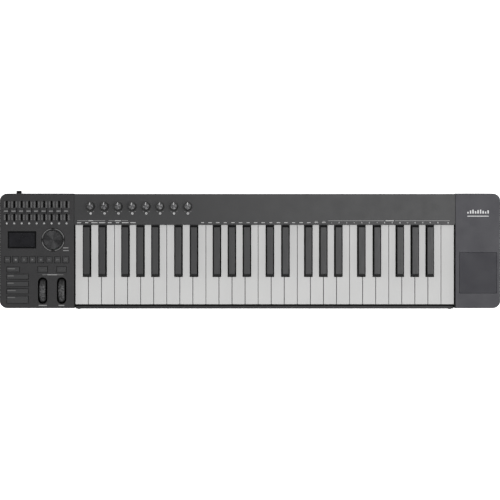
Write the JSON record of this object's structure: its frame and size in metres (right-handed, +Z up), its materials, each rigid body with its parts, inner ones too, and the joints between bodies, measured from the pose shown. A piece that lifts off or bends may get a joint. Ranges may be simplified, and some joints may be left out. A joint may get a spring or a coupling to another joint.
{
  "type": "midi keyboard",
  "caption": "Controller keyboard with hinged full-size keys, faders, knobs, wheels, jog dial, screen and touch pad in a flat case, with pedal and data sockets at the rear.",
  "frame": {"origin": "on the desk plane, at the middle of the object's box in plan", "axes": "+X to the player's right, +Y away from the player to the rear sockets, +Z up"},
  "size_m": [0.8978, 0.215, 0.0745],
  "materials": {
    "case_plastic": "fine moulded grain, satin",
    "panel_metal": "dark grey satin paint",
    "key_frame": "moulded",
    "steel_parts": "zinc plated",
    "key_stop_felts": "pressed felt",
    "grey_rubber": "silicone",
    "circuit_board": "solder mask",
    "panel_pots": "plated can",
    "display_module": "liquid crystal cell and frame",
    "display_window": "tinted acrylic",
    "touchpad": "fine frosted surface",
    "rear_sockets": "moulded",
    "rubber_feet": "moulded",
    "white_keys": "semi-gloss",
    "black_keys": "satin",
    "fader_cap": "satin",
    "knob": "soft-touch",
    "hand_wheel": "soft-touch",
    "jog_wheel": "spun, dark anodised",
    "nav_ring": "satin",
    "button_plastic": "satin silicone",
    "power_button": "satin"
  },
  "bodies": {
    "case": {"bottom_case": "case_plastic", "front_rail": "panel_metal", "top_panel": "panel_metal", "left_housing": "case_plastic", "right_housing": "case_plastic", "key_frame": "key_frame", "key_pivot_rod": "steel_parts", "key_stop_felts": "key_stop_felts", "key_return_springs": "steel_parts", "key_contact_rubber": "grey_rubber", "key_contact_board": "circuit_board", "control_board": "circuit_board", "knob_board": "circuit_board", "main_board": "circuit_board", "panel_pots": "panel_pots", "button_keypad": "grey_rubber", "display_module": "display_module", "display_window": "display_window", "touchpad": "touchpad", "wheel_bracket": "steel_parts", "rear_sockets": "rear_sockets", "rubber_feet": "rubber_feet", "case_screws": "steel_parts"},
    "keys_c": {"keys_c": "white_keys"},
    "keys_d": {"keys_d": "white_keys"},
    "keys_e": {"keys_e": "white_keys"},
    "keys_f": {"keys_f": "white_keys"},
    "keys_g": {"keys_g": "white_keys"},
    "keys_a": {"keys_a": "white_keys"},
    "keys_b": {"keys_b": "white_keys"},
    "keys_c_sharp": {"keys_c_sharp": "black_keys"},
    "keys_d_sharp": {"keys_d_sharp": "black_keys"},
    "keys_f_sharp": {"keys_f_sharp": "black_keys"},
    "keys_g_sharp": {"keys_g_sharp": "black_keys"},
    "keys_a_sharp": {"keys_a_sharp": "black_keys"},
    "fader_cap_1": {"fader_cap_1": "fader_cap"},
    "fader_cap_2": {"fader_cap_2": "fader_cap"},
    "fader_cap_3": {"fader_cap_3": "fader_cap"},
    "fader_cap_4": {"fader_cap_4": "fader_cap"},
    "fader_cap_5": {"fader_cap_5": "fader_cap"},
    "fader_cap_6": {"fader_cap_6": "fader_cap"},
    "fader_cap_7": {"fader_cap_7": "fader_cap"},
    "fader_cap_8": {"fader_cap_8": "fader_cap"},
    "fader_cap_9": {"fader_cap_9": "fader_cap"},
    "knob_1": {"knob_1": "knob"},
    "knob_2": {"knob_2": "knob"},
    "knob_3": {"knob_3": "knob"},
    "knob_4": {"knob_4": "knob"},
    "knob_5": {"knob_5": "knob"},
    "knob_6": {"knob_6": "knob"},
    "knob_7": {"knob_7": "knob"},
    "knob_8": {"knob_8": "knob"},
    "pitch_wheel": {"pitch_wheel": "hand_wheel"},
    "mod_wheel": {"mod_wheel": "hand_wheel"},
    "jog_wheel": {"jog_wheel": "jog_wheel"},
    "nav_ring": {"nav_ring": "nav_ring"},
    "transport_buttons": {"transport_buttons": "button_plastic"},
    "function_buttons": {"function_buttons": "button_plastic"},
    "octave_buttons": {"octave_buttons": "button_plastic"},
    "power_button": {"power_button": "power_button"}
  },
  "joints": [
    {"name": "keys_c_press", "type": "hinge", "parent": "case", "child": "keys_c", "pos_m": [0, 0.082, 0.041], "axis": [1, 0, 0], "range_deg": [0, 3.2], "deforming": ["key_return_springs", "key_contact_rubber"]},
    {"name": "keys_d_press", "type": "hinge", "parent": "case", "child": "keys_d", "pos_m": [0, 0.082, 0.041], "axis": [1, 0, 0], "range_deg": [0, 3.2], "deforming": ["key_return_springs", "key_contact_rubber"]},
    {"name": "keys_e_press", "type": "hinge", "parent": "case", "child": "keys_e", "pos_m": [0, 0.082, 0.041], "axis": [1, 0, 0], "range_deg": [0, 3.2], "deforming": ["key_return_springs", "key_contact_rubber"]},
    {"name": "keys_f_press", "type": "hinge", "parent": "case", "child": "keys_f", "pos_m": [0, 0.082, 0.041], "axis": [1, 0, 0], "range_deg": [0, 3.2], "deforming": ["key_return_springs", "key_contact_rubber"]},
    {"name": "keys_g_press", "type": "hinge", "parent": "case", "child": "keys_g", "pos_m": [0, 0.082, 0.041], "axis": [1, 0, 0], "range_deg": [0, 3.2], "deforming": ["key_return_springs", "key_contact_rubber"]},
    {"name": "keys_a_press", "type": "hinge", "parent": "case", "child": "keys_a", "pos_m": [0, 0.082, 0.041], "axis": [1, 0, 0], "range_deg": [0, 3.2], "deforming": ["key_return_springs", "key_contact_rubber"]},
    {"name": "keys_b_press", "type": "hinge", "parent": "case", "child": "keys_b", "pos_m": [0, 0.082, 0.041], "axis": [1, 0, 0], "range_deg": [0, 3.2], "deforming": ["key_return_springs", "key_contact_rubber"]},
    {"name": "keys_c_sharp_press", "type": "hinge", "parent": "case", "child": "keys_c_sharp", "pos_m": [0, 0.082, 0.041], "axis": [1, 0, 0], "range_deg": [0, 3.2], "deforming": ["key_return_springs", "key_contact_rubber"]},
    {"name": "keys_d_sharp_press", "type": "hinge", "parent": "case", "child": "keys_d_sharp", "pos_m": [0, 0.082, 0.041], "axis": [1, 0, 0], "range_deg": [0, 3.2], "deforming": ["key_return_springs", "key_contact_rubber"]},
    {"name": "keys_f_sharp_press", "type": "hinge", "parent": "case", "child": "keys_f_sharp", "pos_m": [0, 0.082, 0.041], "axis": [1, 0, 0], "range_deg": [0, 3.2], "deforming": ["key_return_springs", "key_contact_rubber"]},
    {"name": "keys_g_sharp_press", "type": "hinge", "parent": "case", "child": "keys_g_sharp", "pos_m": [0, 0.082, 0.041], "axis": [1, 0, 0], "range_deg": [0, 3.2], "deforming": ["key_return_springs", "key_contact_rubber"]},
    {"name": "keys_a_sharp_press", "type": "hinge", "parent": "case", "child": "keys_a_sharp", "pos_m": [0, 0.082, 0.041], "axis": [1, 0, 0], "range_deg": [0, 3.2], "deforming": ["key_return_springs", "key_contact_rubber"]},
    {"name": "fader_1_slide", "type": "slide", "parent": "case", "child": "fader_cap_1", "axis": [0, 1, 0], "range_m": [-0.015, 0.015]},
    {"name": "fader_2_slide", "type": "slide", "parent": "case", "child": "fader_cap_2", "axis": [0, 1, 0], "range_m": [-0.015, 0.015]},
    {"name": "fader_3_slide", "type": "slide", "parent": "case", "child": "fader_cap_3", "axis": [0, 1, 0], "range_m": [-0.015, 0.015]},
    {"name": "fader_4_slide", "type": "slide", "parent": "case", "child": "fader_cap_4", "axis": [0, 1, 0], "range_m": [-0.015, 0.015]},
    {"name": "fader_5_slide", "type": "slide", "parent": "case", "child": "fader_cap_5", "axis": [0, 1, 0], "range_m": [-0.015, 0.015]},
    {"name": "fader_6_slide", "type": "slide", "parent": "case", "child": "fader_cap_6", "axis": [0, 1, 0], "range_m": [-0.015, 0.015]},
    {"name": "fader_7_slide", "type": "slide", "parent": "case", "child": "fader_cap_7", "axis": [0, 1, 0], "range_m": [-0.015, 0.015]},
    {"name": "fader_8_slide", "type": "slide", "parent": "case", "child": "fader_cap_8", "axis": [0, 1, 0], "range_m": [-0.015, 0.015]},
    {"name": "fader_9_slide", "type": "slide", "parent": "case", "child": "fader_cap_9", "axis": [0, 1, 0], "range_m": [-0.015, 0.015]},
    {"name": "knob_1_turn", "type": "hinge", "parent": "case", "child": "knob_1", "pos_m": [-0.2856, 0.07735, 0.065], "axis": [0, 0, -1], "range_deg": [-150, 150]},
    {"name": "knob_2_turn", "type": "hinge", "parent": "case", "child": "knob_2", "pos_m": [-0.2607, 0.07735, 0.065], "axis": [0, 0, -1], "range_deg": [-150, 150]},
    {"name": "knob_3_turn", "type": "hinge", "parent": "case", "child": "knob_3", "pos_m": [-0.2358, 0.07735, 0.065], "axis": [0, 0, -1], "range_deg": [-150, 150]},
    {"name": "knob_4_turn", "type": "hinge", "parent": "case", "child": "knob_4", "pos_m": [-0.2109, 0.07735, 0.065], "axis": [0, 0, -1], "range_deg": [-150, 150]},
    {"name": "knob_5_turn", "type": "hinge", "parent": "case", "child": "knob_5", "pos_m": [-0.186, 0.07735, 0.065], "axis": [0, 0, -1], "range_deg": [-150, 150]},
    {"name": "knob_6_turn", "type": "hinge", "parent": "case", "child": "knob_6", "pos_m": [-0.1611, 0.07735, 0.065], "axis": [0, 0, -1], "range_deg": [-150, 150]},
    {"name": "knob_7_turn", "type": "hinge", "parent": "case", "child": "knob_7", "pos_m": [-0.1362, 0.07735, 0.065], "axis": [0, 0, -1], "range_deg": [-150, 150]},
    {"name": "knob_8_turn", "type": "hinge", "parent": "case", "child": "knob_8", "pos_m": [-0.1113, 0.07735, 0.065], "axis": [0, 0, -1], "range_deg": [-150, 150]},
    {"name": "pitch_bend", "type": "hinge", "parent": "case", "child": "pitch_wheel", "pos_m": [-0.3715, -0.07325, 0.04], "axis": [-1, 0, 0], "range_deg": [-32, 32]},
    {"name": "modulation", "type": "hinge", "parent": "case", "child": "mod_wheel", "pos_m": [-0.3375, -0.07325, 0.04], "axis": [-1, 0, 0], "range_deg": [0, 64]},
    {"name": "jog_turn", "type": "hinge", "parent": "case", "child": "jog_wheel", "pos_m": [-0.3528, 0.01775, 0.06], "axis": [0, 0, -1], "continuous": true},
    {"name": "nav_tilt", "type": "hinge", "parent": "case", "child": "nav_ring", "pos_m": [-0.3528, 0.01775, 0.0572], "axis": [1, 0, 0], "range_deg": [-2, 2], "deforming": ["button_keypad"]},
    {"name": "transport_press", "type": "slide", "parent": "case", "child": "transport_buttons", "axis": [0, 0, -1], "range_m": [0, 0.0012], "deforming": ["button_keypad"]},
    {"name": "function_press", "type": "slide", "parent": "case", "child": "function_buttons", "axis": [0, 0, -1], "range_m": [0, 0.0012], "deforming": ["button_keypad"]},
    {"name": "octave_press", "type": "slide", "parent": "case", "child": "octave_buttons", "axis": [0, 0, -1], "range_m": [0, 0.0012], "deforming": ["button_keypad"]},
    {"name": "power_press", "type": "slide", "parent": "case", "child": "power_button", "axis": [0, -1, 0], "range_m": [0, 0.0022]}
  ]
}
